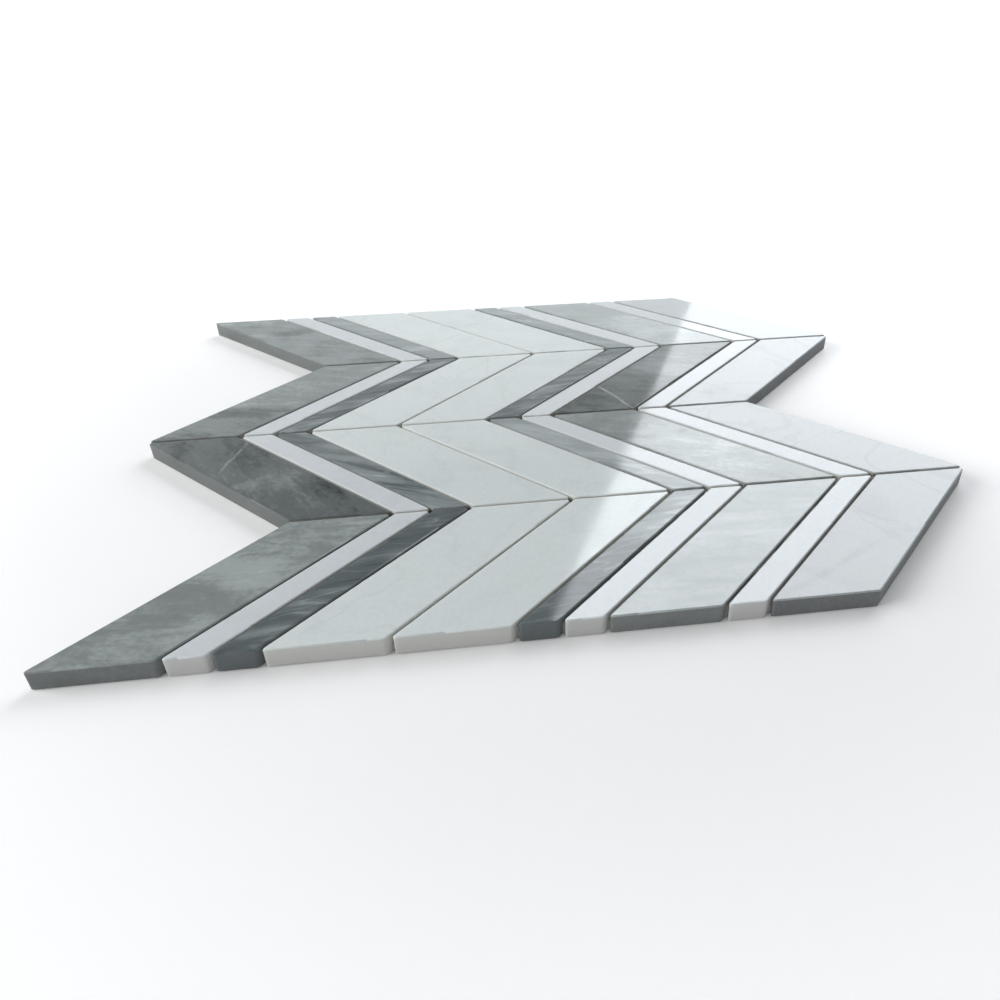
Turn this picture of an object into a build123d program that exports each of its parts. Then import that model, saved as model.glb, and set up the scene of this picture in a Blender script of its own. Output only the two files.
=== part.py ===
"""Chevron marble mosaic sheet: slanted strips of polished stone, laid in mirrored rows on a net backing.

Units are millimetres. The sheet lies face up: +X runs across the chevron from the grey end to the pale
end, +Y runs from row to row, and Z is up. The origin is under the middle of the sheet's box.
"""
from build123d import *
from math import cos, radians, tan
import os

# Driving dimensions
thickness = 8.0        # stone, from sawn back to polished face
band_width = 31.0      # wide strips, measured square to their long edges
liner_width = 11.0     # narrow strips, measured the same way
strip_joint = 1.0      # open joint between neighbouring strips, square to their edges
slant = 45.0           # lean of the strips away from +Y, in degrees
row_depth = 79.0       # one row, front to back
row_joint = 1.2        # open joint between two rows, where the strips are mitred
row_count = 4
tip_radius = 0.8       # blunted sharp corners of the strips
corner_radius = 2.0    # rounded wide corners of the strips
face_arris = 0.7       # eased edge round the polished face
net_thickness = 0.4    # backing net with its adhesive
net_inset = 2.0        # the net is trimmed this far inside the stone

# The strips of every row, in order along +X: the name of the strip and its width
strips = [
    ("grey_band_1", band_width),
    ("white_liner_1", liner_width),
    ("grey_liner_1", liner_width),
    ("white_band_1", band_width),
    ("white_band_2", band_width),
    ("grey_liner_2", liner_width),
    ("white_liner_2", liner_width),
    ("grey_band_2", band_width),
    ("white_liner_3", liner_width),
    ("pale_band", band_width),
]

# Sizes along the sheet's own axes, worked out from the driving dimensions
along_x = 1 / cos(radians(slant))              # a width square to a strip, as it measures along X
lean = row_depth * tan(radians(slant))         # how far a strip moves along X over one row
joint_lean = row_joint / 2 * tan(radians(slant))
row_pitch = row_depth + row_joint
sheet_depth = row_count * row_pitch - row_joint
strip_run = (sum(width for _, width in strips) + (len(strips) - 1) * strip_joint) * along_x
centre = Vector((strip_run + lean) / 2, sheet_depth / 2)


def lean_at(line):
    """X shift of the strips at row line number line: 0 at the near edge, then lean, 0, lean and so on."""
    return lean if line % 2 else 0.0


def stone(near_left, far_left, width_x):
    """One strip: a slanted prism on the net, with rounded corners, an eased face and a back left as sawn."""
    across = Vector(width_x, 0)
    outline = Polygon(near_left, near_left + across, far_left + across, far_left, align=None)
    body = extrude(Pos(0, 0, net_thickness) * outline, thickness)
    # The two wide corners lie nearer to the middle than the two sharp ones
    sharp_corners = body.edges().filter_by(Axis.Z).sort_by_distance(body.center())[2:]
    body = fillet(sharp_corners, tip_radius)
    wide_corners = body.edges().filter_by(Axis.Z).sort_by_distance(body.center())[:2]
    body = fillet(wide_corners, corner_radius)
    return chamfer(body.faces().sort_by(Axis.Z)[-1].edges(), face_arris)


def row_of_stones(row):
    """The strips of one row, by name. Even rows lean to +X, and odd rows lean back."""
    near_y = row * row_pitch
    far_y = near_y + row_depth
    x = 0.0
    stones = {}
    for name, width in strips:
        near_left = Vector(x + lean_at(row), near_y) - centre
        far_left = Vector(x + lean_at(row + 1), far_y) - centre
        stones[f"row{row + 1}_{name}"] = stone(near_left, far_left, width * along_x)
        x += (width + strip_joint) * along_x
    return stones


def row_line(line):
    """Left end of a row line: the near edge, the middle of each row joint, or the far edge."""
    if line == 0:
        return Vector(0, 0)
    if line == row_count:
        return Vector(lean_at(line), sheet_depth)
    past_tip = joint_lean if line % 2 else -joint_lean
    return Vector(lean_at(line) + past_tip, line * row_pitch - row_joint / 2)


def backing_net():
    """The net that carries the strips: a thin sheet with the zigzag outline, trimmed inside the stone."""
    left_side = [row_line(line) - centre for line in range(row_count + 1)]
    right_side = [point + Vector(strip_run, 0) for point in left_side]
    outline = Polygon(*left_side, *reversed(right_side), align=None)
    trimmed = offset(outline, amount=-net_inset, kind=Kind.INTERSECTION)
    return extrude(trimmed, net_thickness, dir=(0, 0, 1))


nodes = {"net_backing": backing_net()}
for row in range(row_count):
    nodes.update(row_of_stones(row))

os.makedirs("parts", exist_ok=True)
for name, solid in nodes.items():
    solid.label = name
    export_step(solid, f"parts/{name}.step")
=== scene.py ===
"""Chevron marble mosaic sheet: polished stone strips in mirrored rows on a glued net, lying on a pale studio floor."""
import math
import random

import bmesh
import bpy
from bpy.props import FloatProperty, FloatVectorProperty, PointerProperty
from mathutils import Matrix, Vector, noise


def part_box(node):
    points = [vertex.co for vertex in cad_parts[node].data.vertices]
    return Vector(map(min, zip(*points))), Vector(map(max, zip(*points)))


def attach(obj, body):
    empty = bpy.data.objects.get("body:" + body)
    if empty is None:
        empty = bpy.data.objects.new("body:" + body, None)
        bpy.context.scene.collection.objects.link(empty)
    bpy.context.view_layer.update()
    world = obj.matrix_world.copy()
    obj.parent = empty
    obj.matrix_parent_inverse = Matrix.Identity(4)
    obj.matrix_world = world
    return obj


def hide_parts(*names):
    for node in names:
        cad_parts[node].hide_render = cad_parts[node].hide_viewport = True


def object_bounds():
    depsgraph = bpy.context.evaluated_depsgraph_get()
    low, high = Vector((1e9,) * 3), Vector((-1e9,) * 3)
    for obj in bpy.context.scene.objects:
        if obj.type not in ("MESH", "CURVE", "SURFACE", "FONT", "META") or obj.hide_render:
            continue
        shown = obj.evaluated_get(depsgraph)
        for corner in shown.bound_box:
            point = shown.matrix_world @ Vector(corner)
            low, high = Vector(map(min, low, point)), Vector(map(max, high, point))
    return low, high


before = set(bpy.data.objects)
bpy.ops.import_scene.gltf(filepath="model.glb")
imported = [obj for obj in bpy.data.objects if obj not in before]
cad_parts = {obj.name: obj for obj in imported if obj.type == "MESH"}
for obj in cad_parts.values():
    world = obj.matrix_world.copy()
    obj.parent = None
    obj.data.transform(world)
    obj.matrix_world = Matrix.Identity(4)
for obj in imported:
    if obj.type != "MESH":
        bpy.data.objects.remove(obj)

bl_info = {
    "name": "Chevron marble mosaic",
    "version": (1, 0, 0),
    "blender": (4, 5, 0),
    "location": "3D View > Sidebar > Mosaic",
    "description": "Dresses a chevron mosaic sheet with marble strips, a glued net and a studio stage",
    "category": "Object",
}

CAD_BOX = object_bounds()
MM = 0.001
ROWS = (1, 2, 3, 4)
STRIPS = ("grey_band_1", "white_liner_1", "grey_liner_1", "white_band_1", "white_band_2",
          "grey_liner_2", "white_liner_2", "grey_band_2", "white_liner_3", "pale_band")
TIP_ANGLE = math.radians(45)
WIDE_ANGLE = math.pi - TIP_ANGLE
GLUE_LIMIT = 6.7 * MM    # the adhesive stays below the eased edges
FLAT_FACE = 0.995        # least rise of a normal on the flat polished face
ARRIS_FACE = 0.1         # least rise of a normal on the eased edge
ARRIS_POLISH = 0.8       # share of the polish that the eased edge keeps
FILM = 0.5               # share of a joint wall that shows adhesive


# What a user may change

class StoneSettings(bpy.types.PropertyGroup):
    """How the strips are sawn, eased and laid."""
    tip_radius: FloatProperty(
        name="Tip radius", description="Rounding of a strip's two sharp corners", default=0.8 * MM, unit="LENGTH")
    corner_radius: FloatProperty(
        name="Corner radius", description="Rounding of a strip's two wide corners", default=2.0 * MM, unit="LENGTH")
    arris: FloatProperty(
        name="Arris", description="Easing round the polished face", default=0.8 * MM, unit="LENGTH")
    play: FloatProperty(
        name="Play", description="Most that a corner is sawn short of its line", default=0.22 * MM, unit="LENGTH")
    chip: FloatProperty(
        name="Chip", description="Depth of the largest edge chips", default=0.28 * MM, unit="LENGTH")


class MarbleSettings(bpy.types.PropertyGroup):
    """Colours of the five marbles, from their darkest to their palest."""
    grey_dark: FloatVectorProperty(
        name="Grey, dark", description="Darkest clouds of the grey marble", subtype="COLOR",
        default=(0.050, 0.061, 0.060), min=0, max=1)
    grey_light: FloatVectorProperty(
        name="Grey, light", description="Pale clouds of the grey marble", subtype="COLOR",
        default=(0.37, 0.405, 0.40), min=0, max=1)
    grey_pale: FloatVectorProperty(
        name="Grey, pale", description="Ground of the few near-white grey strips", subtype="COLOR",
        default=(0.58, 0.62, 0.63), min=0, max=1)
    liner_dark: FloatVectorProperty(
        name="Dark liner, dark", description="Darkest bands of the dark grey marble", subtype="COLOR",
        default=(0.036, 0.050, 0.055), min=0, max=1)
    liner_light: FloatVectorProperty(
        name="Dark liner, light", description="Pale bands of the dark grey marble", subtype="COLOR",
        default=(0.26, 0.295, 0.30), min=0, max=1)
    liner_pale: FloatVectorProperty(
        name="Dark liner, pale", description="Ground of the few pale liners", subtype="COLOR",
        default=(0.46, 0.50, 0.51), min=0, max=1)
    soft_white: FloatVectorProperty(
        name="Soft white", description="Ground of the wide white strips", subtype="COLOR",
        default=(0.715, 0.765, 0.762), min=0, max=1)
    snow_white: FloatVectorProperty(
        name="Snow white", description="Ground of the narrow white strips", subtype="COLOR",
        default=(0.66, 0.695, 0.715), min=0, max=1)
    pale_grey: FloatVectorProperty(
        name="Pale grey", description="Ground of the pale strips", subtype="COLOR",
        default=(0.47, 0.495, 0.51), min=0, max=1)
    polish: FloatProperty(
        name="Polish", description="Roughness of the polished face", default=0.07, min=0, max=1)
    sawn: FloatProperty(
        name="Sawn", description="Roughness of the sawn sides and back", default=0.62, min=0, max=1)


class BackingSettings(bpy.types.PropertyGroup):
    """The net under the strips and the adhesive that rises in the joints."""
    pitch: FloatProperty(
        name="Pitch", description="Distance between the net's strands", default=5.0 * MM, unit="LENGTH")
    strand: FloatProperty(
        name="Strand", description="Width of a strand", default=0.9 * MM, unit="LENGTH")
    inset: FloatProperty(
        name="Inset", description="How far the net is trimmed inside the stone", default=2.0 * MM, unit="LENGTH")
    glue_height: FloatProperty(
        name="Glue height", description="Usual rise of the adhesive in a joint", default=5.2 * MM, unit="LENGTH")
    glue_short: FloatProperty(
        name="Glue short", description="How far the adhesive stops before a joint's ends",
        default=3.0 * MM, unit="LENGTH")
    glue: FloatVectorProperty(
        name="Glue", description="Colour of the adhesive", subtype="COLOR",
        default=(0.63, 0.61, 0.56), min=0, max=1)
    fibre: FloatVectorProperty(
        name="Fibre", description="Colour of the net's strands", subtype="COLOR",
        default=(0.74, 0.73, 0.68), min=0, max=1)


class StageSettings(bpy.types.PropertyGroup):
    """Floor, lamps and camera."""
    floor: FloatVectorProperty(
        name="Floor", description="Colour of the floor", subtype="COLOR",
        default=(0.93, 0.93, 0.935), min=0, max=1)
    floor_glow: FloatProperty(
        name="Floor glow", description="White that the floor shows by itself beside the sheet",
        default=0.12, min=0, max=1)
    window_top: FloatProperty(
        name="Window top", description="Brightness of the window at its head", default=4.9, min=0)
    window_foot: FloatProperty(
        name="Window foot", description="Brightness of the window at its foot", default=3.6, min=0)
    fill: FloatProperty(
        name="Fill", description="Brightness of the low fill lamp on the grey side", default=7.2, min=0)
    room: FloatProperty(
        name="Room", description="Brightness of the room all round", default=0.10, min=0)
    lens: FloatProperty(
        name="Lens", description="Focal length on a 36 mm sensor, in millimetres", default=29.81, min=1)


def settings(group):
    return getattr(bpy.context.scene, "mosaic_" + group)


# Node trees

class Recipe:
    """A material's node tree, written one node at a time."""

    def __init__(self, name):
        self.material = bpy.data.materials.new(name)
        self.material.use_nodes = True
        self.tree = self.material.node_tree
        self.shader = self.tree.nodes["Principled BSDF"]

    def node(self, kind, inputs=None, **options):
        """A new node. Each input is a socket to link or a value to set."""
        made = self.tree.nodes.new(kind)
        for option, value in options.items():
            setattr(made, option, value)
        for key, value in (inputs or {}).items():
            self.feed(made.inputs[key], value)
        return made

    def feed(self, socket, value):
        if isinstance(value, bpy.types.NodeSocket):
            self.tree.links.new(value, socket)
        else:
            socket.default_value = value

    def math(self, operation, first, second=0.0, clamp=False):
        return self.node("ShaderNodeMath", {0: first, 1: second}, operation=operation, use_clamp=clamp).outputs[0]

    def scaled(self, vector, scale):
        """A vector, stretched by a value for each axis."""
        return self.node("ShaderNodeVectorMath", {0: vector, 1: scale}, operation="MULTIPLY").outputs[0]

    def noise(self, vector, scale, detail=5.0, rough=0.55, warp=0.0):
        return self.node("ShaderNodeTexNoise", {
            "Vector": vector, "Scale": scale, "Detail": detail, "Roughness": rough, "Distortion": warp}).outputs[0]

    def span(self, value, low, high, to_low=0.0, to_high=1.0):
        """A value eased from one range into another."""
        return self.node("ShaderNodeMapRange", {
            0: value, 1: low, 2: high, 3: to_low, 4: to_high}, interpolation_type="SMOOTHSTEP").outputs[0]

    def mix(self, factor, first, second, blend="MIX"):
        made = self.node("ShaderNodeMix", data_type="RGBA", blend_type=blend)
        self.feed(made.inputs[0], factor)
        self.feed(made.inputs[6], rgba(first))
        self.feed(made.inputs[7], rgba(second))
        return made.outputs[2]

    def value_mix(self, factor, first, second):
        return self.node("ShaderNodeMix", {0: factor, 2: first, 3: second}, data_type="FLOAT").outputs[0]

    def attribute(self, name):
        return self.node("ShaderNodeAttribute", attribute_name=name)

    def split(self, vector):
        return self.node("ShaderNodeSeparateXYZ", {0: vector}).outputs

    def bump(self, height, strength, distance):
        return self.node("ShaderNodeBump", {
            "Height": height, "Strength": strength, "Distance": distance}).outputs[0]


def rgba(colour):
    """Three values of a colour as four, and a socket as it is."""
    if isinstance(colour, bpy.types.NodeSocket):
        return colour
    return (*colour[:3], 1.0)


# Marbles. A strip carries where it was cut from its block (bed), how pale it is (tone), its main vein, its cloud
# (on some strips painted reflection), and for each face how far it is polished and how much adhesive it keeps (film).

def marble(name, colour_of, vein_colour, sawn_tint_and_shade, vein_width, depth=0.0):
    """A marble with a polished face, sawn sides and glued joint walls. colour_of gives its ground from the block."""
    look = settings("marble")
    recipe = Recipe(name)
    shader = recipe.shader.inputs
    bed = recipe.attribute("bed").outputs["Vector"]
    tone = recipe.attribute("tone").outputs["Fac"]
    polished = recipe.attribute("polished").outputs["Fac"]
    colour = colour_of(recipe, bed, tone, cloud_and_reflection_of(recipe))
    colour = recipe.mix(vein_of(recipe, bed, vein_width), colour, vein_colour)
    grain = recipe.math("ADD", recipe.noise(bed, 1000, 2.0), recipe.noise(bed, 2600, 2.0))
    powder = recipe.span(grain, 0.7, 1.3, 0.70, 0.84)
    # sawn sides take the sawn tint, which for the pale marble also holds painted shade
    sawn_colour = recipe.mix(powder, colour, sawn_tint_and_shade)
    sawn_colour = recipe.mix(recipe.attribute("film").outputs["Fac"], sawn_colour, settings("backing").glue)
    recipe.feed(shader["Base Color"], recipe.mix(polished, sawn_colour, colour))
    smear = recipe.span(recipe.noise(bed, 60, 4.0), 0.3, 0.7, look.polish * 0.7, look.polish * 1.4)
    gloss = recipe.math("POWER", polished, 3.0)
    recipe.feed(shader["Roughness"], recipe.value_mix(gloss, look.sawn, smear))
    shader["IOR"].default_value = 1.55
    shader["Subsurface Weight"].default_value = depth
    shader["Subsurface Radius"].default_value = (1.0, 0.97, 0.9)
    shader["Subsurface Scale"].default_value = 2.5 * MM
    recipe.feed(shader["Normal"], recipe.bump(recipe.value_mix(polished, grain, 1.0), 0.3, 0.12 * MM))
    return recipe.material


def cloud_and_reflection_of(recipe):
    """How much of a strip's cloud shows, full in the middle and gone at its rim. Some clouds are painted reflection.
    """
    across, along, gain = recipe.split(recipe.attribute("cloud_and_reflection").outputs["Vector"])
    far = recipe.math("SQRT", recipe.math("ADD", recipe.math("POWER", across, 2.0), recipe.math("POWER", along, 2.0)))
    return recipe.math("MULTIPLY", recipe.span(far, 1.0, 0.15), gain)


def vein_of(recipe, bed, width):
    """The strip's main vein: a wavering line that thins out towards its ends."""
    across, along, gain = recipe.split(recipe.attribute("vein").outputs["Vector"])
    waver = recipe.math("MULTIPLY", recipe.math("SUBTRACT", recipe.noise(bed, 60, 3.0), 0.5), 4 * MM)
    off = recipe.math("ABSOLUTE", recipe.math("ADD", across, waver))
    line = recipe.span(off, width, width * 0.15)
    ends = recipe.span(recipe.math("ABSOLUTE", along), 1.15, 0.55)
    patchy = recipe.span(recipe.noise(bed, 160, 3.0), 0.32, 0.58, 0.3, 1.0)
    strength = recipe.math("MULTIPLY", recipe.math("MULTIPLY", line, ends), patchy)
    return recipe.math("MULTIPLY", strength, gain, clamp=True)


def ground(recipe, level, stops):
    """A colour for a level between 0 and 1, from a few stops."""
    made = recipe.node("ShaderNodeValToRGB", {0: level})
    ramp = made.color_ramp
    ramp.interpolation = "EASE"
    while len(ramp.elements) < len(stops):
        ramp.elements.new(0.5)
    for element, (place, colour) in zip(ramp.elements, stops):
        element.position = place
        element.color = rgba(colour)
    return made.outputs[0]


def level_of(recipe, tone, cloud_and_reflection, parts):
    """Adds patterns, each weighted about its middle, to a strip's tone and cloud (some clouds are painted reflection).
    Pale strips show less.
    """
    level = recipe.math("ADD", tone, cloud_and_reflection)
    contrast = recipe.span(tone, 0.5, 0.85, 1.0, 0.4)
    for pattern, weight in parts:
        swing = recipe.math("MULTIPLY", recipe.math("SUBTRACT", pattern, 0.5), weight)
        level = recipe.math("ADD", level, recipe.math("MULTIPLY", swing, contrast))
    return level


def between(first, second, share):
    return [a + (b - a) * share for a, b in zip(first, second)]


def veinlets(recipe, bed):
    """A broken web of fine pale lines, as in crushed and healed stone."""
    shake = recipe.node("ShaderNodeTexNoise", {"Vector": bed, "Scale": 150.0, "Detail": 4.0}).outputs["Color"]
    bent = recipe.node("ShaderNodeVectorMath", {0: bed, 1: recipe.scaled(shake, (7 * MM, 7 * MM, 7 * MM))},
                       operation="ADD").outputs[0]
    rim = recipe.node("ShaderNodeTexVoronoi", {"Vector": bent, "Scale": 140.0}, feature="DISTANCE_TO_EDGE").outputs[0]
    patch = recipe.span(recipe.noise(bed, 42, 4.0), 0.50, 0.70)
    return recipe.math("MULTIPLY", recipe.span(rim, 0.05, 0.0, 0.0, 0.09), patch)


def grey_ground(recipe, bed, tone, cloud_and_reflection):
    look = settings("marble")
    streaks = recipe.noise(recipe.scaled(bed, (14, 62, 40)), 1.0, 5.0, 0.62, 0.9)
    clouds = recipe.noise(bed, 26, 5.0, 0.6, 0.6)
    wisps = recipe.noise(recipe.scaled(bed, (90, 240, 160)), 1.0, 4.0, 0.6, 0.4)
    mottle = recipe.noise(bed, 420, 4.0, 0.6)
    level = level_of(recipe, tone, cloud_and_reflection, ((streaks, 0.75), (clouds, 0.55), (wisps, 0.3), (mottle, 0.26)))
    fading = recipe.span(tone, 0.5, 0.85, 1.0, 0.25)
    level = recipe.math("ADD", level, recipe.math("MULTIPLY", veinlets(recipe, bed), fading))
    dark, light = look.grey_dark, look.grey_light
    return ground(recipe, level, ((0.0, dark), (0.27, between(dark, light, 0.26)),
                                  (0.49, between(dark, light, 0.58)), (0.71, light), (1.0, look.grey_pale)))


def liner_ground(recipe, bed, tone, cloud_and_reflection):
    look = settings("marble")
    bands = recipe.noise(recipe.scaled(bed, (14, 105, 60)), 1.0, 5.0, 0.6, 0.7)
    clouds = recipe.noise(bed, 34, 4.0, 0.55, 0.3)
    wisps = recipe.math("ABSOLUTE", recipe.math("SUBTRACT", recipe.noise(
        recipe.scaled(bed, (11, 60, 40)), 1.0, 3.0, 0.5, 0.5), 0.5))
    level = level_of(recipe, tone, cloud_and_reflection, ((bands, 1.5), (clouds, 0.4)))
    level = recipe.math("ADD", level, recipe.span(wisps, 0.016, 0.0, 0.0, 0.13))
    dark, light = look.liner_dark, look.liner_light
    return ground(recipe, level, ((0.05, dark), (0.40, between(dark, light, 0.36)), (0.72, light),
                                  (1.0, look.liner_pale)))


def veiled_white(recipe, bed, tone, cloud_and_reflection, white, shade, amount):
    """A white ground with a thin veil of shade, a sugary grain and a warm cast. A tone above 0 makes it paler."""
    drift = recipe.noise(recipe.scaled(bed, (14, 34, 26)), 1.0, 6.0, 0.58, 1.1)
    threads = recipe.math("ABSOLUTE", recipe.math("SUBTRACT", recipe.noise(bed, 17, 4.0, 0.5, 0.6), 0.5))
    veil = recipe.math("ADD", recipe.span(drift, 0.50, 0.80, 0.0, 0.8), recipe.span(threads, 0.03, 0.0, 0.0, 0.35))
    veil = recipe.math("ADD", recipe.math("MULTIPLY", veil, amount), recipe.math("SUBTRACT", cloud_and_reflection, tone), clamp=True)
    warm = recipe.span(recipe.noise(bed, 45, 4.0), 0.52, 0.70, 0.0, 0.30)
    sugar = recipe.span(recipe.noise(bed, 520, 3.0), 0.35, 0.65, 0.0, 0.08)
    veil = recipe.math("ADD", veil, sugar, clamp=True)
    colour = recipe.mix(veil, recipe.mix(warm, white, [white[0], white[1] * 0.97, white[2] * 0.92]), shade)
    return recipe.mix(recipe.math("MAXIMUM", tone, 0.0), colour, (0.82, 0.85, 0.86))


def soft_white_ground(recipe, bed, tone, cloud_and_reflection):
    white = settings("marble").soft_white
    return veiled_white(recipe, bed, tone, cloud_and_reflection, white, between(white, (0.30, 0.33, 0.35), 0.8), 0.22)


def snow_white_ground(recipe, bed, tone, cloud_and_reflection):
    white = settings("marble").snow_white
    return veiled_white(recipe, bed, tone, cloud_and_reflection, white, between(white, (0.30, 0.32, 0.34), 0.8), 0.14)


def pale_ground(recipe, bed, tone, cloud_and_reflection):
    pale = settings("marble").pale_grey
    return veiled_white(recipe, bed, tone, cloud_and_reflection, pale, between(pale, (0.12, 0.135, 0.145), 0.8), 0.40)


# Marks that single strips show: how much paler they are, how their bedding turns, and one vein and one cloud.
# Some clouds are painted reflection. Places are millimetres from the middle of the sheet. A vein has two ends,
# and a cloud its middle and two radii.

MARKS = {
    "row1_grey_band_1": {"tone": 0.61, "turn": 4, "cloud_and_reflection": ((-128, -118), (26, 14), 0.08)},
    "row2_grey_band_1": {"tone": 0.21, "turn": 62, "vein": ((-144, -4), (-153, -36), 0.40),
                         "cloud_and_reflection": ((-124, -44), (24, 17), 0.16)},
    "row3_grey_band_1": {"tone": 0.47, "turn": 12, "cloud_and_reflection": ((-152, 26), (34, 9), -0.20)},
    "row4_grey_band_1": {"tone": 0.46, "turn": 8, "cloud_and_reflection": ((-143, 133), (16, 6), -0.24)},
    "row1_grey_band_2": {"tone": 0.84, "turn": 3},
    # painted reflection: the broad pale clouds of grey_band_2 in rows 2 to 4 lie where the window's mirror image falls
    # on the polish
    "row2_grey_band_2": {"tone": 0.52, "turn": 10, "cloud_and_reflection": ((95, -50), (70, 60), 0.32)},
    "row3_grey_band_2": {"tone": 0.14, "turn": 20, "vein": ((38, 31), (55, -3), 0.75),
                         "cloud_and_reflection": ((88, 58), (44, 40), 0.26)},
    "row4_grey_band_2": {"tone": 0.70, "turn": 6, "cloud_and_reflection": ((88, 110), (50, 50), 0.18)},
    "row1_grey_liner_1": {"tone": 0.38, "turn": -8},
    "row2_grey_liner_1": {"tone": 0.58, "turn": 24},
    "row3_grey_liner_1": {"tone": 0.48, "turn": -12},
    "row4_grey_liner_1": {"tone": 0.72, "turn": 15},
    "row1_grey_liner_2": {"tone": 0.38, "turn": -6, "cloud_and_reflection": ((70, -105), (60, 50), 0.36)},
    "row2_grey_liner_2": {"tone": 0.84, "turn": 20},
    "row3_grey_liner_2": {"tone": 0.48, "turn": -14},
    "row4_grey_liner_2": {"tone": 0.74, "turn": 18},
    "row1_pale_band": {"tone": 0.0, "turn": 30, "vein": ((66, -163), (138, -126), 0.16),
                       "cloud_and_reflection": ((137, -104), (14, 20), 0.16)},
    "row4_pale_band": {"tone": 0.15, "turn": 18},
    "row3_white_band_1": {"tone": 0.0, "turn": 40, "vein": ((-19, 82), (-22, 52), 0.22)},
    "row4_white_band_1": {"tone": 0.0, "turn": -20, "vein": ((-52, 102), (-33, 118), 0.28)},
    "row1_white_band_1": {"tone": 0.0, "turn": 15, "vein": ((-104, -155), (-84, -139), 0.20)},
    "row4_white_liner_1": {"tone": -0.10},
    "row1_white_liner_2": {"tone": -0.08},
    "row3_white_liner_2": {"tone": 0.25},
    "row1_white_liner_3": {"tone": -0.10},
    "row2_white_liner_3": {"tone": -0.14},
    "row3_white_liner_3": {"tone": -0.32},
    "row4_white_liner_3": {"tone": -0.12},
}
NO_LINE = ((0, 0), (0, 100), 0.0)
NO_CLOUD_AND_REFLECTION = ((0, 0), (10, 10), 0.0)


# Strips

def strip_outline(node, radius):
    """Near left, near right, far right and far left corners of a strip, before its tips are rounded."""
    low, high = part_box(node)
    lost = radius * (1 / math.tan(TIP_ANGLE / 2) - 1)
    left, right = low.x - lost, high.x + lost
    lean = (high.y - low.y) / math.tan(TIP_ANGLE)
    if leans_right(node):
        xs = (left, right - lean, right, left + lean)
    else:
        xs = (left + lean, right, right - lean, left)
    return [Vector((x, y)) for x, y in zip(xs, (low.y, low.y, high.y, high.y))]


def leans_right(node):
    """The odd rows lean to +X on their way back, and the even rows lean the other way."""
    return int(node[3]) % 2 == 1


def laid_outline(node, chance):
    """The outline as it was sawn: each corner a little short of its line."""
    stone = settings("stone")
    corners = strip_outline(node, stone.tip_radius)
    for corner, inward in zip(corners, (1, -1, -1, 1)):
        corner.x += inward * chance.uniform(0.2, 1.0) * stone.play
    return corners


def upright_edges(bm):
    return [e for e in bm.edges if abs(e.verts[0].co.z - e.verts[1].co.z) > MM]


def round_corners(bm, edges, radius, angle, segments):
    """Rounds upright edges so that the middle of the curve lies where a true radius would put it."""
    reach = radius / math.sin(angle / 2) - radius
    offset = reach / ((2 - math.sqrt(2)) * math.cos(angle / 2))
    return bmesh.ops.bevel(
        bm, geom=edges, offset=offset, offset_type="OFFSET", affect="EDGES",
        segments=segments, profile=0.5, material=-1, clamp_overlap=True)["faces"]


def mark_chip(edge, middle, chance, depth):
    """Splits an edge of the face where a small flake is missing. Gives the flake's place, inward way and depth."""
    start, end = edge.verts
    run = (end.co - start.co).normalized()
    inward = Vector((-run.y, run.x, 0))
    if inward.dot(middle - start.co) < 0:
        inward.negate()
    length = edge.calc_length()
    half = chance.uniform(1.2, 2.4) * depth
    place = chance.uniform(0.12, 0.85) * length
    here = start
    split = []
    for step in (place - half, half, half):
        edge = next(e for e in here.link_edges if end in e.verts)
        here = bmesh.utils.edge_split(edge, here, step / edge.calc_length())[1]
        split.append(here.co.copy())
    return split[1], run, inward, depth


def sink_chip(bm, chip, arris):
    """Sinks the eased edge at a chip: its upper rim moves in, its lower rim moves down, and the rest does both."""
    place, run, inward, depth = chip
    for v in bm.verts:
        way = v.co - place
        if way.length < 2 * arris and abs(way.dot(run)) < 0.01 * MM:
            if v.co.z < place.z - 0.01 * MM:
                v.co.z -= depth
            if way.dot(inward) > 0.01 * MM:
                v.co += inward * depth


def strip_mesh(node, chance):
    """A slanted prism with rounded corners, an eased and slightly chipped face, and plain sawn sides."""
    stone = settings("stone")
    low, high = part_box(node)
    bm = bmesh.new()
    bottom = bm.faces.new([bm.verts.new((c.x, c.y, low.z)) for c in laid_outline(node, chance)])
    top = bmesh.ops.extrude_face_region(bm, geom=[bottom], use_keep_orig=True)["geom"]
    bmesh.ops.translate(bm, vec=(0, 0, high.z - low.z), verts=[v for v in top if isinstance(v, bmesh.types.BMVert)])
    bmesh.ops.recalc_face_normals(bm, faces=bm.faces)
    middle = sum((v.co for v in bm.verts), Vector()) / len(bm.verts)
    by_reach = sorted(upright_edges(bm), key=lambda e: (e.verts[0].co.xy - middle.xy).length)
    soft = set(round_corners(bm, by_reach[:2], stone.corner_radius, WIDE_ANGLE, 4))
    sharp = sorted(upright_edges(bm), key=lambda e: (e.verts[0].co.xy - middle.xy).length)[-2:]
    soft |= set(round_corners(bm, sharp, stone.tip_radius, TIP_ANGLE, 7))
    face = max(bm.faces, key=lambda f: f.calc_center_median().z)
    long_edges = sorted(face.edges, key=lambda e: -e.calc_length())[:4]
    chips = [mark_chip(edge, middle, chance, stone.chip * chance.uniform(0.35, 1.0))
             for edge in long_edges if chance.random() < 0.55]
    face = max(bm.faces, key=lambda f: f.calc_center_median().z)
    soft |= set(bmesh.ops.bevel(
        bm, geom=list(face.edges), offset=stone.arris, offset_type="OFFSET", affect="EDGES",
        segments=4, profile=0.5, material=-1, clamp_overlap=True)["faces"])
    for chip in chips:
        sink_chip(bm, chip, stone.arris)
    for f in soft:
        if f.is_valid:
            f.smooth = True
    mesh = bpy.data.meshes.new(node + "_stone")
    bm.to_mesh(mesh)
    bm.free()
    return mesh


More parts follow.
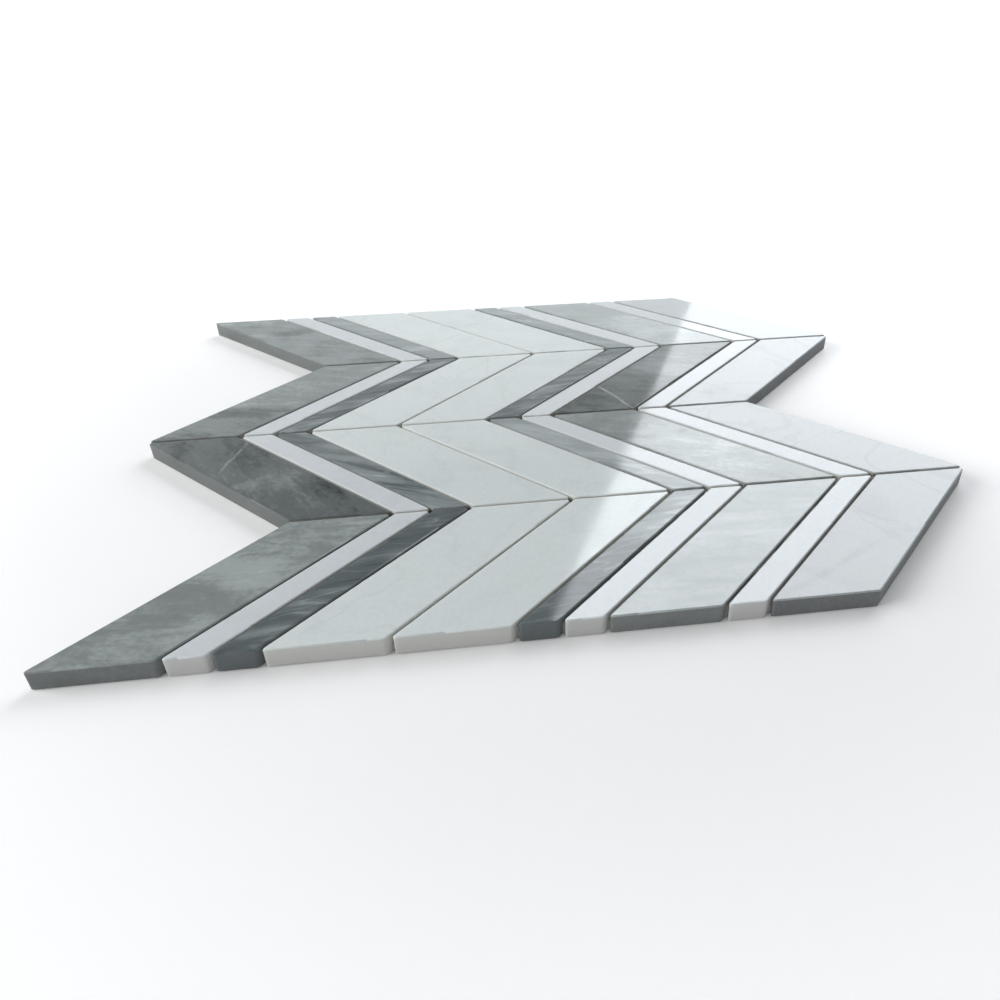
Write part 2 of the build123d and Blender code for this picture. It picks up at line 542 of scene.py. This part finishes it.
def write_values(mesh, name, kind, domain, values):
    attribute = mesh.attributes.new(name, kind, domain)
    field = "vector" if kind == "FLOAT_VECTOR" else "value"
    flat = [x for v in values for x in v] if field == "vector" else list(values)
    attribute.data.foreach_set(field, flat)


def in_joint(node, normal):
    """Whether a face is a flat wall inside a joint: not a rounded corner, nor a wall that shows from outside."""
    row, strip = int(node[3]), node[5:]
    if row == ROWS[0] and normal.y < -0.5 or row == ROWS[-1] and normal.y > 0.5:
        return False
    end_wall = abs(normal.y) > 0.99
    long_wall = abs(abs(normal.x) - math.sin(TIP_ANGLE)) < 0.02 and abs(normal.z) < ARRIS_FACE
    return end_wall or long_wall and strip != (STRIPS[0] if normal.x < 0 else STRIPS[-1])


def write_stone_values(mesh, node, chance):
    """Where the strip was cut from its block, its tone, its vein, its cloud with any painted reflection, and which
    faces are polished or glued.
    """
    marks = MARKS.get(node, {})
    turn = math.radians(marks.get("turn", chance.uniform(-35, 35)))
    tilt = Matrix.Rotation(turn, 3, "Z") @ Matrix.Rotation(math.radians(chance.uniform(-25, 25)), 3, "X")
    block_place = Vector([chance.uniform(1, 9) for _ in range(3)])
    points = [v.co for v in mesh.vertices]
    write_values(mesh, "bed", "FLOAT_VECTOR", "POINT", [tilt @ p + block_place for p in points])
    tone = marks.get("tone", chance.uniform(-0.04, 0.02))
    write_values(mesh, "tone", "FLOAT", "POINT", [tone] * len(points))
    start, end, gain = marks.get("vein", NO_LINE)
    start, end = Vector(start) * MM, Vector(end) * MM
    run = (end - start).normalized()
    half = (end - start).length / 2
    across = Vector((run.y, -run.x))
    middle = (start + end) / 2
    write_values(mesh, "vein", "FLOAT_VECTOR", "POINT", [
        ((p.xy - middle).dot(across), (p.xy - middle).dot(run) / half, gain) for p in points])
    place, radii, gain = marks.get("cloud_and_reflection", NO_CLOUD_AND_REFLECTION)
    write_values(mesh, "cloud_and_reflection", "FLOAT_VECTOR", "POINT", [
        ((p.x - place[0] * MM) / (radii[0] * MM), (p.y - place[1] * MM) / (radii[1] * MM), gain) for p in points])
    write_values(mesh, "polished", "FLOAT", "FACE", [
        1.0 if f.normal.z > FLAT_FACE else ARRIS_POLISH if f.normal.z > ARRIS_FACE else 0.0
        for f in mesh.polygons])
    write_values(mesh, "film", "FLOAT", "FACE", [
        FILM if in_joint(node, f.normal) else 0.0 for f in mesh.polygons])


def lay_strips(strips, slot, material):
    """Makes these strips in every row, each in place of its plain solid."""
    for row in ROWS:
        for strip in strips:
            node = f"row{row}_{strip}"
            chance = random.Random(100 * row + STRIPS.index(strip))
            mesh = strip_mesh(node, chance)
            write_stone_values(mesh, node, chance)
            mesh.materials.append(material)
            piece = bpy.data.objects.new(node + "_stone", mesh)
            place_piece(piece, slot, node)


def place_piece(piece, slot, *nodes):
    bpy.context.scene.collection.objects.link(piece)
    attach(piece, "root")
    if nodes:
        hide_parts(*nodes)


# Backing

def row_limits(row):
    """Near and far Y of a row, out to the middle of the row joints and in from the sheet's own edges."""
    low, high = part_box(f"row{row}_{STRIPS[0]}")
    inset = settings("backing").inset
    near = low.y + inset if row == ROWS[0] else (low.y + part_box(f"row{row - 1}_{STRIPS[0]}")[1].y) / 2
    far = high.y - inset if row == ROWS[-1] else (high.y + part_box(f"row{row + 1}_{STRIPS[0]}")[0].y) / 2
    return near, far


def strands(bm, start, step, crossings, repeat, copies, flat):
    """Like strands side by side: flat six-sided bands that pass over and under at every crossing."""
    side = repeat.normalized()
    width = settings("backing").strand
    section = Matrix((side * width, Vector((0, 0, flat)), step.normalized())).transposed().to_4x4()
    ring = bmesh.ops.create_circle(bm, segments=6, radius=0.5, matrix=Matrix.Translation(start) @ section)["verts"]
    old = set(bm.verts) - set(ring)
    edges = list({e for v in ring for e in v.link_edges})
    bmesh.ops.spin(bm, geom=edges, cent=start, axis=(0, 0, 1), dvec=step, angle=0, steps=crossings)
    made = [v for v in bm.verts if v not in old]
    over = [v for v in made if round((v.co - start).dot(step) / step.length_squared) % 2 == 0]
    bmesh.ops.translate(bm, vec=(0, 0, flat), verts=over)
    geom = made + list({e for v in made for e in v.link_edges}) + list({f for v in made for f in v.link_faces})
    bmesh.ops.spin(bm, geom=geom, cent=start, axis=(0, 0, 1), dvec=repeat, angle=0, steps=copies - 1,
                   use_duplicate=True)


def net_of_row(row):
    """The strands under one row, cut off along the row's slanted ends."""
    backing = settings("backing")
    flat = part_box("net_backing")[1].z / 2
    near, far = row_limits(row)
    left = strip_outline(f"row{row}_{STRIPS[0]}", settings("stone").tip_radius)
    right = strip_outline(f"row{row}_{STRIPS[-1]}", settings("stone").tip_radius)
    pitch = backing.pitch
    corner = CAD_BOX[0].xy.to_3d()
    columns = int((CAD_BOX[1].x - corner.x) / pitch)
    first_line = 2 * math.floor((near - corner.y) / pitch / 2)
    lines = 2 * math.ceil((far - corner.y) / pitch / 2) - first_line
    east, north = Vector((pitch, 0, 0)), Vector((0, pitch, 0))
    start = corner + north * first_line + Vector((0, 0, flat / 2))
    bm = bmesh.new()
    strands(bm, start, east, columns, 2 * north, lines // 2 + 1, flat)
    strands(bm, start + north - east, east, columns + 1, 2 * north, lines // 2 + 1, flat)
    strands(bm, start - north, north, lines + 2, 2 * east, columns // 2 + 1, flat)
    strands(bm, start + east, north, lines + 1, 2 * east, columns // 2, flat)
    trim(bm, Vector((0, near, 0)), Vector((0, -1, 0)))
    trim(bm, Vector((0, far, 0)), Vector((0, 1, 0)))
    for near_end, far_end, outward in ((left[0], left[3], -1), (right[1], right[2], 1)):
        run = (far_end - near_end).normalized()
        away = Vector((run.y, -run.x, 0)) * outward
        trim(bm, near_end.to_3d() - away * backing.inset, away)
    return bm


def trim(bm, point, away):
    """Cuts off what lies beyond a plane."""
    geom = list(bm.verts) + list(bm.edges) + list(bm.faces)
    bmesh.ops.bisect_plane(bm, geom=geom, dist=1e-7, plane_co=point, plane_no=away, clear_outer=True)


def fibre_material():
    backing = settings("backing")
    recipe = Recipe("glass_fibre_strands")
    place = recipe.node("ShaderNodeTexCoord").outputs["Object"]
    fuzz = recipe.noise(place, 900, 4.0)
    soaked = recipe.span(recipe.noise(place, 35, 4.0), 0.42, 0.62)
    colour = recipe.mix(soaked, backing.fibre, backing.glue)
    colour = recipe.mix(recipe.span(fuzz, 0.3, 0.7, 0.0, 0.3), colour, (0.42, 0.38, 0.31))
    recipe.feed(recipe.shader.inputs["Base Color"], colour)
    recipe.feed(recipe.shader.inputs["Roughness"], recipe.value_mix(soaked, 0.75, 0.45))
    recipe.feed(recipe.shader.inputs["Normal"], recipe.bump(fuzz, 0.5, 0.1 * MM))
    return recipe.material


def glue_material():
    backing = settings("backing")
    recipe = Recipe("joint_adhesive")
    place = recipe.node("ShaderNodeTexCoord").outputs["Object"]
    lumps = recipe.noise(place, 320, 5.0)
    dust = recipe.span(recipe.noise(place, 90, 5.0), 0.4, 0.65)
    dull = between(backing.glue, (0.33, 0.31, 0.28), 0.6)
    recipe.feed(recipe.shader.inputs["Base Color"], recipe.mix(dust, backing.glue, dull))
    recipe.shader.inputs["Roughness"].default_value = 0.55
    recipe.feed(recipe.shader.inputs["Normal"], recipe.bump(lumps, 0.5, 0.3 * MM))
    return recipe.material


def glue_bead(bm, near_left, near_right, far_right, far_left, floor, rise, seed):
    """A bead of adhesive along a joint: low in the middle, creeping up both walls, and uneven along its run."""
    pieces_along = max(8, int((far_left - near_left).length / (3 * MM)))
    grid = bmesh.ops.create_grid(bm, x_segments=4, y_segments=pieces_along, size=0.5)["verts"]
    for v in grid:
        u, w = v.co.x + 0.5, v.co.y + 0.5
        across = near_left.lerp(near_right, u).lerp(far_left.lerp(far_right, u), w)
        uneven = noise.noise(Vector((across.x * 140, across.y * 140, seed)))
        creep = 0.85 + 0.5 * abs(u - 0.5)
        v.co = (across.x, across.y, floor + min((creep + 0.35 * uneven) * rise, GLUE_LIMIT))
    faces = list({f for v in grid for f in v.link_faces})
    under = bmesh.ops.extrude_face_region(bm, geom=faces, use_keep_orig=True)["geom"]
    for g in under:
        if isinstance(g, bmesh.types.BMVert):
            g.co.z = floor


def joint_corners(row, index, overlap):
    """The corners of the joint after a strip, reaching a little under both walls."""
    radius = settings("stone").tip_radius
    before = strip_outline(f"row{row}_{STRIPS[index]}", radius)
    after = strip_outline(f"row{row}_{STRIPS[index + 1]}", radius)
    push = Vector((overlap, 0))
    short = (before[2] - before[1]).normalized() * settings("backing").glue_short
    return before[1] - push + short, after[0] + push + short, after[3] + push - short, before[2] - push - short


# Operators

class MOSAIC_OT_grey_bands(bpy.types.Operator):
    """Lay the wide grey strips."""
    bl_idname = "mosaic.grey_bands"
    bl_label = "Grey bands"

    def execute(self, context):
        material = marble(
            "grey_marble", grey_ground, vein_colour=(0.46, 0.48, 0.46),
            sawn_tint_and_shade=(0.13, 0.138, 0.134), vein_width=1.1 * MM)
        lay_strips(("grey_band_1", "grey_band_2"), "grey_marble", material)
        return {"FINISHED"}


class MOSAIC_OT_grey_liners(bpy.types.Operator):
    """Lay the narrow dark grey strips."""
    bl_idname = "mosaic.grey_liners"
    bl_label = "Grey liners"

    def execute(self, context):
        material = marble(
            "dark_grey_marble", liner_ground, vein_colour=(0.5, 0.53, 0.53),
            sawn_tint_and_shade=(0.12, 0.135, 0.14), vein_width=0.8 * MM)
        lay_strips(("grey_liner_1", "grey_liner_2"), "dark_grey_marble", material)
        return {"FINISHED"}


class MOSAIC_OT_white_bands(bpy.types.Operator):
    """Lay the wide white strips."""
    bl_idname = "mosaic.white_bands"
    bl_label = "White bands"

    def execute(self, context):
        material = marble(
            "soft_white_marble", soft_white_ground, vein_colour=(0.42, 0.45, 0.46),
            sawn_tint_and_shade=(0.62, 0.61, 0.57), vein_width=0.9 * MM, depth=0.4)
        lay_strips(("white_band_1", "white_band_2"), "soft_white_marble", material)
        return {"FINISHED"}


class MOSAIC_OT_white_liners(bpy.types.Operator):
    """Lay the narrow white strips."""
    bl_idname = "mosaic.white_liners"
    bl_label = "White liners"

    def execute(self, context):
        material = marble(
            "snow_white_marble", snow_white_ground, vein_colour=(0.5, 0.52, 0.54),
            sawn_tint_and_shade=(0.60, 0.595, 0.565), vein_width=0.6 * MM, depth=0.4)
        lay_strips(("white_liner_1", "white_liner_2", "white_liner_3"), "snow_white_marble", material)
        return {"FINISHED"}


class MOSAIC_OT_pale_bands(bpy.types.Operator):
    """Lay the wide pale grey strips."""
    bl_idname = "mosaic.pale_bands"
    bl_label = "Pale bands"

    def execute(self, context):
        material = marble(
            "pale_grey_marble", pale_ground, vein_colour=(0.16, 0.18, 0.19),
            # painted shade: this sawn tint is partly the sawn stone's own dull colour and partly shade that darkens
            # the pale strips' walls
            sawn_tint_and_shade=(0.085, 0.089, 0.089), vein_width=2.6 * MM, depth=0.1)
        lay_strips(("pale_band",), "pale_grey_marble", material)
        return {"FINISHED"}


class MOSAIC_OT_backing_net(bpy.types.Operator):
    """Weave the net under the strips."""
    bl_idname = "mosaic.backing_net"
    bl_label = "Backing net"

    def execute(self, context):
        mesh = bpy.data.meshes.new("woven_net")
        whole = bmesh.new()
        for row in ROWS:
            part = net_of_row(row)
            part.to_mesh(mesh)
            part.free()
            whole.from_mesh(mesh)
        bmesh.ops.remove_doubles(whole, verts=whole.verts, dist=0.01 * MM)
        open_edges = [e for e in whole.edges if e.is_boundary]
        bmesh.ops.holes_fill(whole, edges=open_edges, sides=12)
        bmesh.ops.recalc_face_normals(whole, faces=whole.faces)
        whole.to_mesh(mesh)
        whole.free()
        mesh.materials.append(fibre_material())
        place_piece(bpy.data.objects.new("woven_net", mesh), "glass_fibre_net", "net_backing")
        return {"FINISHED"}


class MOSAIC_OT_joint_glue(bpy.types.Operator):
    """Run the adhesive that has risen into the joints."""
    bl_idname = "mosaic.joint_glue"
    bl_label = "Joint glue"

    def execute(self, context):
        rise = settings("backing").glue_height
        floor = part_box("net_backing")[1].z
        overlap = settings("stone").play
        chance = random.Random(7)
        bm = bmesh.new()
        for row in ROWS:
            for index in range(len(STRIPS) - 1):
                corners = joint_corners(row, index, overlap)
                glue_bead(bm, *corners, floor, rise * chance.uniform(0.75, 1.3), 10 * row + index)
        for row in ROWS[:-1]:
            first, last = f"row{row}_{STRIPS[0]}", f"row{row}_{STRIPS[-1]}"
            start = strip_outline(first, settings("stone").tip_radius)[3]
            end = strip_outline(last, settings("stone").tip_radius)[2]
            next_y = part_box(f"row{row + 1}_{STRIPS[0]}")[0].y
            inset = Vector((settings("backing").inset, 0))
            start, end = start + inset, end - inset
            glue_bead(bm, start, Vector((start.x, next_y)), Vector((end.x, next_y)), end, floor, rise, row)
        bmesh.ops.recalc_face_normals(bm, faces=bm.faces)
        for f in bm.faces:
            f.smooth = True
        mesh = bpy.data.meshes.new("joint_glue")
        bm.to_mesh(mesh)
        bm.free()
        mesh.materials.append(glue_material())
        place_piece(bpy.data.objects.new("joint_glue", mesh), "glass_fibre_net")
        return {"FINISHED"}


# Stage

CAMERA_PLACE = Vector((-37.92, -384.39, 213.04)) * MM
CAMERA_TURN = math.radians(7.566)
CAMERA_DIP = math.radians(33.757)
CAMERA_ROLL = math.radians(-0.402)
CAMERA_SHIFT = -0.06
WINDOW_TURN = math.radians(27)
WINDOW_RISE = math.radians(30)
WINDOW_DISTANCE = 1.6
WINDOW_SIZE = (1.15, 1.15)
WINDOW_LEAN = math.radians(14.3)
WINDOW_EDGE = -0.28
WINDOW_FOOT = 0.62
FILL_PLACE = Vector((-1.60, -0.12, 0.78))
FILL_SIZE = (1.3, 1.1)
SWEEP_RADIUS = 2.6
SWEEP_RISE = math.radians(31)
FLOOR_NEAR, FLOOR_FAR = 0.19, 0.36          # the floor beside the sheet brightens over this distance
BACKDROP_NEAR, BACKDROP_FAR = 0.5, 1.2      # past this the camera sees plain white


def toward(turn, rise):
    """A direction: turn from +Y towards +X, and rise above the floor."""
    return Vector((math.sin(turn) * math.cos(rise), math.cos(turn) * math.cos(rise), math.sin(rise)))


def lamp(name, matrix, size, brightness):
    """A flat lamp of an even brightness that only fills: neither the camera nor the polished stone shows it."""
    light = bpy.data.lights.new(name, "AREA")
    light.shape = "RECTANGLE"
    light.size, light.size_y = size
    light.energy = brightness * math.pi * size[0] * size[1]
    made = bpy.data.objects.new(name, light)
    made.matrix_world = matrix
    made.visible_camera = False
    made.visible_glossy = False
    bpy.context.scene.collection.objects.link(made)
    return made


def facing(place):
    """A lamp's place and turn, so that it faces the middle of the sheet."""
    away = place.normalized()
    across = -away.cross(Vector((0, 0, 1))).normalized()
    rotation = Matrix((across, away.cross(across), away)).transposed()
    return Matrix.Translation(place) @ rotation.to_4x4()


def window_matrix():
    """The tall window: its left edge leans, and its mirror image ends across the polished strips."""
    away = toward(WINDOW_TURN, WINDOW_RISE)
    right = away.cross(Vector((0, 0, 1))).normalized()
    up = right.cross(away)
    across = right * math.cos(WINDOW_LEAN) + up * math.sin(WINDOW_LEAN)
    along = away.cross(-across)
    centre = away * WINDOW_DISTANCE + right * WINDOW_EDGE + across * WINDOW_SIZE[0] / 2
    centre += along * (WINDOW_SIZE[1] / 2 - WINDOW_FOOT)
    rotation = Matrix((-across, along, away)).transposed()
    return Matrix.Translation(centre) @ rotation.to_4x4()


def window_mesh():
    """A card that shines on the sheet, with its brightness rising from foot to head."""
    stage = settings("stage")
    bm = bmesh.new()
    bmesh.ops.create_grid(bm, x_segments=1, y_segments=1, size=0.5)
    bmesh.ops.scale(bm, vec=(*WINDOW_SIZE, 1), verts=bm.verts)
    bmesh.ops.transform(bm, matrix=window_matrix(), verts=bm.verts)
    bmesh.ops.reverse_faces(bm, faces=bm.faces)
    mesh = bpy.data.meshes.new("window_card")
    bm.to_mesh(mesh)
    bm.free()
    recipe = Recipe("window_light")
    height = recipe.split(recipe.node("ShaderNodeTexCoord").outputs["Object"])[2]
    heights = [v.co.z for v in mesh.vertices]
    strength = recipe.node("ShaderNodeMapRange", {
        0: height, 1: min(heights), 2: max(heights), 3: stage.window_foot, 4: stage.window_top}).outputs[0]
    facing_side = recipe.math("SUBTRACT", 1.0, recipe.node("ShaderNodeNewGeometry").outputs["Backfacing"])
    recipe.shader.inputs["Base Color"].default_value = (0, 0, 0, 1)
    recipe.shader.inputs["Specular IOR Level"].default_value = 0.0
    recipe.shader.inputs["Emission Color"].default_value = (0.94, 0.985, 1.02, 1)
    recipe.feed(recipe.shader.inputs["Emission Strength"], recipe.math("MULTIPLY", strength, facing_side))
    mesh.materials.append(recipe.material)
    return mesh


def sweep_material():
    """White paper that also glows for camera, glossy and transmission rays: painted light on the floor beside the
    sheet, and a painted reflection of a wall that fades into the room. Far from the sheet the camera sees plain white.
    """
    stage = settings("stage")
    recipe = Recipe("glowing_white_paper")
    place = recipe.node("ShaderNodeTexCoord").outputs["Object"]
    east, north, height = recipe.split(place)
    drift = recipe.noise(place, 6, 3.0)
    colour = recipe.mix(drift, between(stage.floor, (0.8, 0.8, 0.8), 0.2), stage.floor)
    recipe.feed(recipe.shader.inputs["Base Color"], colour)
    recipe.shader.inputs["Roughness"].default_value = 0.9
    recipe.shader.inputs["Specular IOR Level"].default_value = 0.0
    path = recipe.node("ShaderNodeLightPath").outputs
    seen = recipe.math("MAXIMUM", path["Is Camera Ray"], recipe.math(
        "MAXIMUM", path["Is Glossy Ray"], path["Is Transmission Ray"]))
    far = recipe.node("ShaderNodeVectorMath", {0: place}, operation="LENGTH").outputs["Value"]
    # painted light: the floor's glow grows with distance from the sheet and towards its back
    glow = recipe.span(far, FLOOR_NEAR, FLOOR_FAR, stage.floor_glow, 2.6 * stage.floor_glow)
    glow = recipe.math("ADD", glow, recipe.span(far, 0.4, SWEEP_RADIUS * 0.5))
    glow = recipe.math("ADD", glow, recipe.span(north, 0.10, 0.34, 0.0, 0.45))
    # painted light: the floor in the notch to the right of the sheet glows towards white
    notch = recipe.math("MULTIPLY", recipe.span(east, 0.06, 0.26), recipe.span(north, -0.22, 0.08, 0.0, 0.35))
    glow = recipe.math("MINIMUM", recipe.math("ADD", glow, notch), 1.0)
    top = SWEEP_RADIUS * math.tan(SWEEP_RISE)
    wall = recipe.span(height, top * 0.62, top, 1.0, stage.room)
    # painted reflection: the wall's glow, seen in the polish, is dimmer towards the left
    dim = recipe.math("MULTIPLY", wall, recipe.span(east, -1.4, 0.9, 0.45, 1.0))
    backdrop = recipe.math("MULTIPLY", path["Is Camera Ray"], recipe.span(far, BACKDROP_NEAR, BACKDROP_FAR))
    glow = recipe.math("MULTIPLY", glow, recipe.value_mix(backdrop, dim, 1.0))
    cool = recipe.mix(recipe.span(height, 0.05, 0.4), (1, 1, 1), (0.91, 0.985, 1.0))
    recipe.feed(recipe.shader.inputs["Emission Color"], cool)
    recipe.feed(recipe.shader.inputs["Emission Strength"], recipe.math("MULTIPLY", seen, glow))
    recipe.material.cycles.emission_sampling = "NONE"
    return recipe.material


def sweep_mesh():
    """A round floor with a low wall all round."""
    bm = bmesh.new()
    bmesh.ops.create_circle(bm, cap_ends=True, segments=96, radius=SWEEP_RADIUS)
    bmesh.ops.translate(bm, vec=(0, 0, CAD_BOX[0].z - 0.05 * MM), verts=bm.verts)
    wall = bmesh.ops.extrude_edge_only(bm, edges=list(bm.edges))["geom"]
    rise = Vector((0, 0, SWEEP_RADIUS * math.tan(SWEEP_RISE)))
    bmesh.ops.translate(bm, vec=rise, verts=[v for v in wall if isinstance(v, bmesh.types.BMVert)])
    mesh = bpy.data.meshes.new("paper_sweep")
    bm.to_mesh(mesh)
    bm.free()
    mesh.materials.append(sweep_material())
    return mesh


class MOSAIC_OT_stage(bpy.types.Operator):
    """Set the floor, the lamps and the camera."""
    bl_idname = "mosaic.stage"
    bl_label = "Stage"

    def execute(self, context):
        stage = settings("stage")
        sweep = bpy.data.objects.new("paper_sweep", sweep_mesh())
        context.scene.collection.objects.link(sweep)
        window = bpy.data.objects.new("window_card", window_mesh())
        window.visible_camera = False
        context.scene.collection.objects.link(window)
        lamp("fill_lamp", facing(FILL_PLACE), FILL_SIZE, stage.fill)
        world = bpy.data.worlds.new("room")
        world.use_nodes = True
        world.node_tree.nodes["Background"].inputs["Color"].default_value = (0.95, 0.98, 1.0, 1)
        world.node_tree.nodes["Background"].inputs["Strength"].default_value = stage.room
        context.scene.world = world
        camera = bpy.data.cameras.new("camera")
        camera.lens = stage.lens
        camera.sensor_width = 36
        camera.shift_x = CAMERA_SHIFT
        camera.clip_start = 0.01
        viewer = bpy.data.objects.new("camera", camera)
        turn = Matrix.Rotation(-CAMERA_TURN, 4, "Z") @ Matrix.Rotation(math.pi / 2 - CAMERA_DIP, 4, "X")
        viewer.matrix_world = Matrix.Translation(CAMERA_PLACE) @ turn @ Matrix.Rotation(CAMERA_ROLL, 4, "Z")
        context.scene.collection.objects.link(viewer)
        context.scene.camera = viewer
        context.scene.view_settings.view_transform = "Standard"
        return {"FINISHED"}


class MOSAIC_PT_panel(bpy.types.Panel):
    """Lists the steps that dress the sheet, and their settings."""
    bl_idname = "MOSAIC_PT_panel"
    bl_label = "Mosaic"
    bl_space_type = "VIEW_3D"
    bl_region_type = "UI"
    bl_category = "Mosaic"

    def draw(self, context):
        for operator in OPERATORS:
            self.layout.operator(operator.bl_idname)
        for group in GROUPS:
            holder = settings(group)
            for name in holder.__annotations__:
                self.layout.prop(holder, name)


GROUPS = {"stone": StoneSettings, "marble": MarbleSettings, "backing": BackingSettings, "stage": StageSettings}
OPERATORS = (MOSAIC_OT_grey_bands, MOSAIC_OT_grey_liners, MOSAIC_OT_white_bands, MOSAIC_OT_white_liners,
             MOSAIC_OT_pale_bands, MOSAIC_OT_backing_net, MOSAIC_OT_joint_glue, MOSAIC_OT_stage)


def register():
    for made in (*GROUPS.values(), *OPERATORS, MOSAIC_PT_panel):
        bpy.utils.register_class(made)
    for group, holder in GROUPS.items():
        setattr(bpy.types.Scene, "mosaic_" + group, PointerProperty(type=holder))


def unregister():
    for group in GROUPS:
        delattr(bpy.types.Scene, "mosaic_" + group)
    for made in reversed((*GROUPS.values(), *OPERATORS, MOSAIC_PT_panel)):
        bpy.utils.unregister_class(made)


def main():
    register()
    bpy.ops.mosaic.grey_bands()
    bpy.ops.mosaic.grey_liners()
    bpy.ops.mosaic.white_bands()
    bpy.ops.mosaic.white_liners()
    bpy.ops.mosaic.pale_bands()
    bpy.ops.mosaic.backing_net()
    bpy.ops.mosaic.joint_glue()
    bpy.ops.mosaic.stage()


if __name__ == "__main__":
    main()
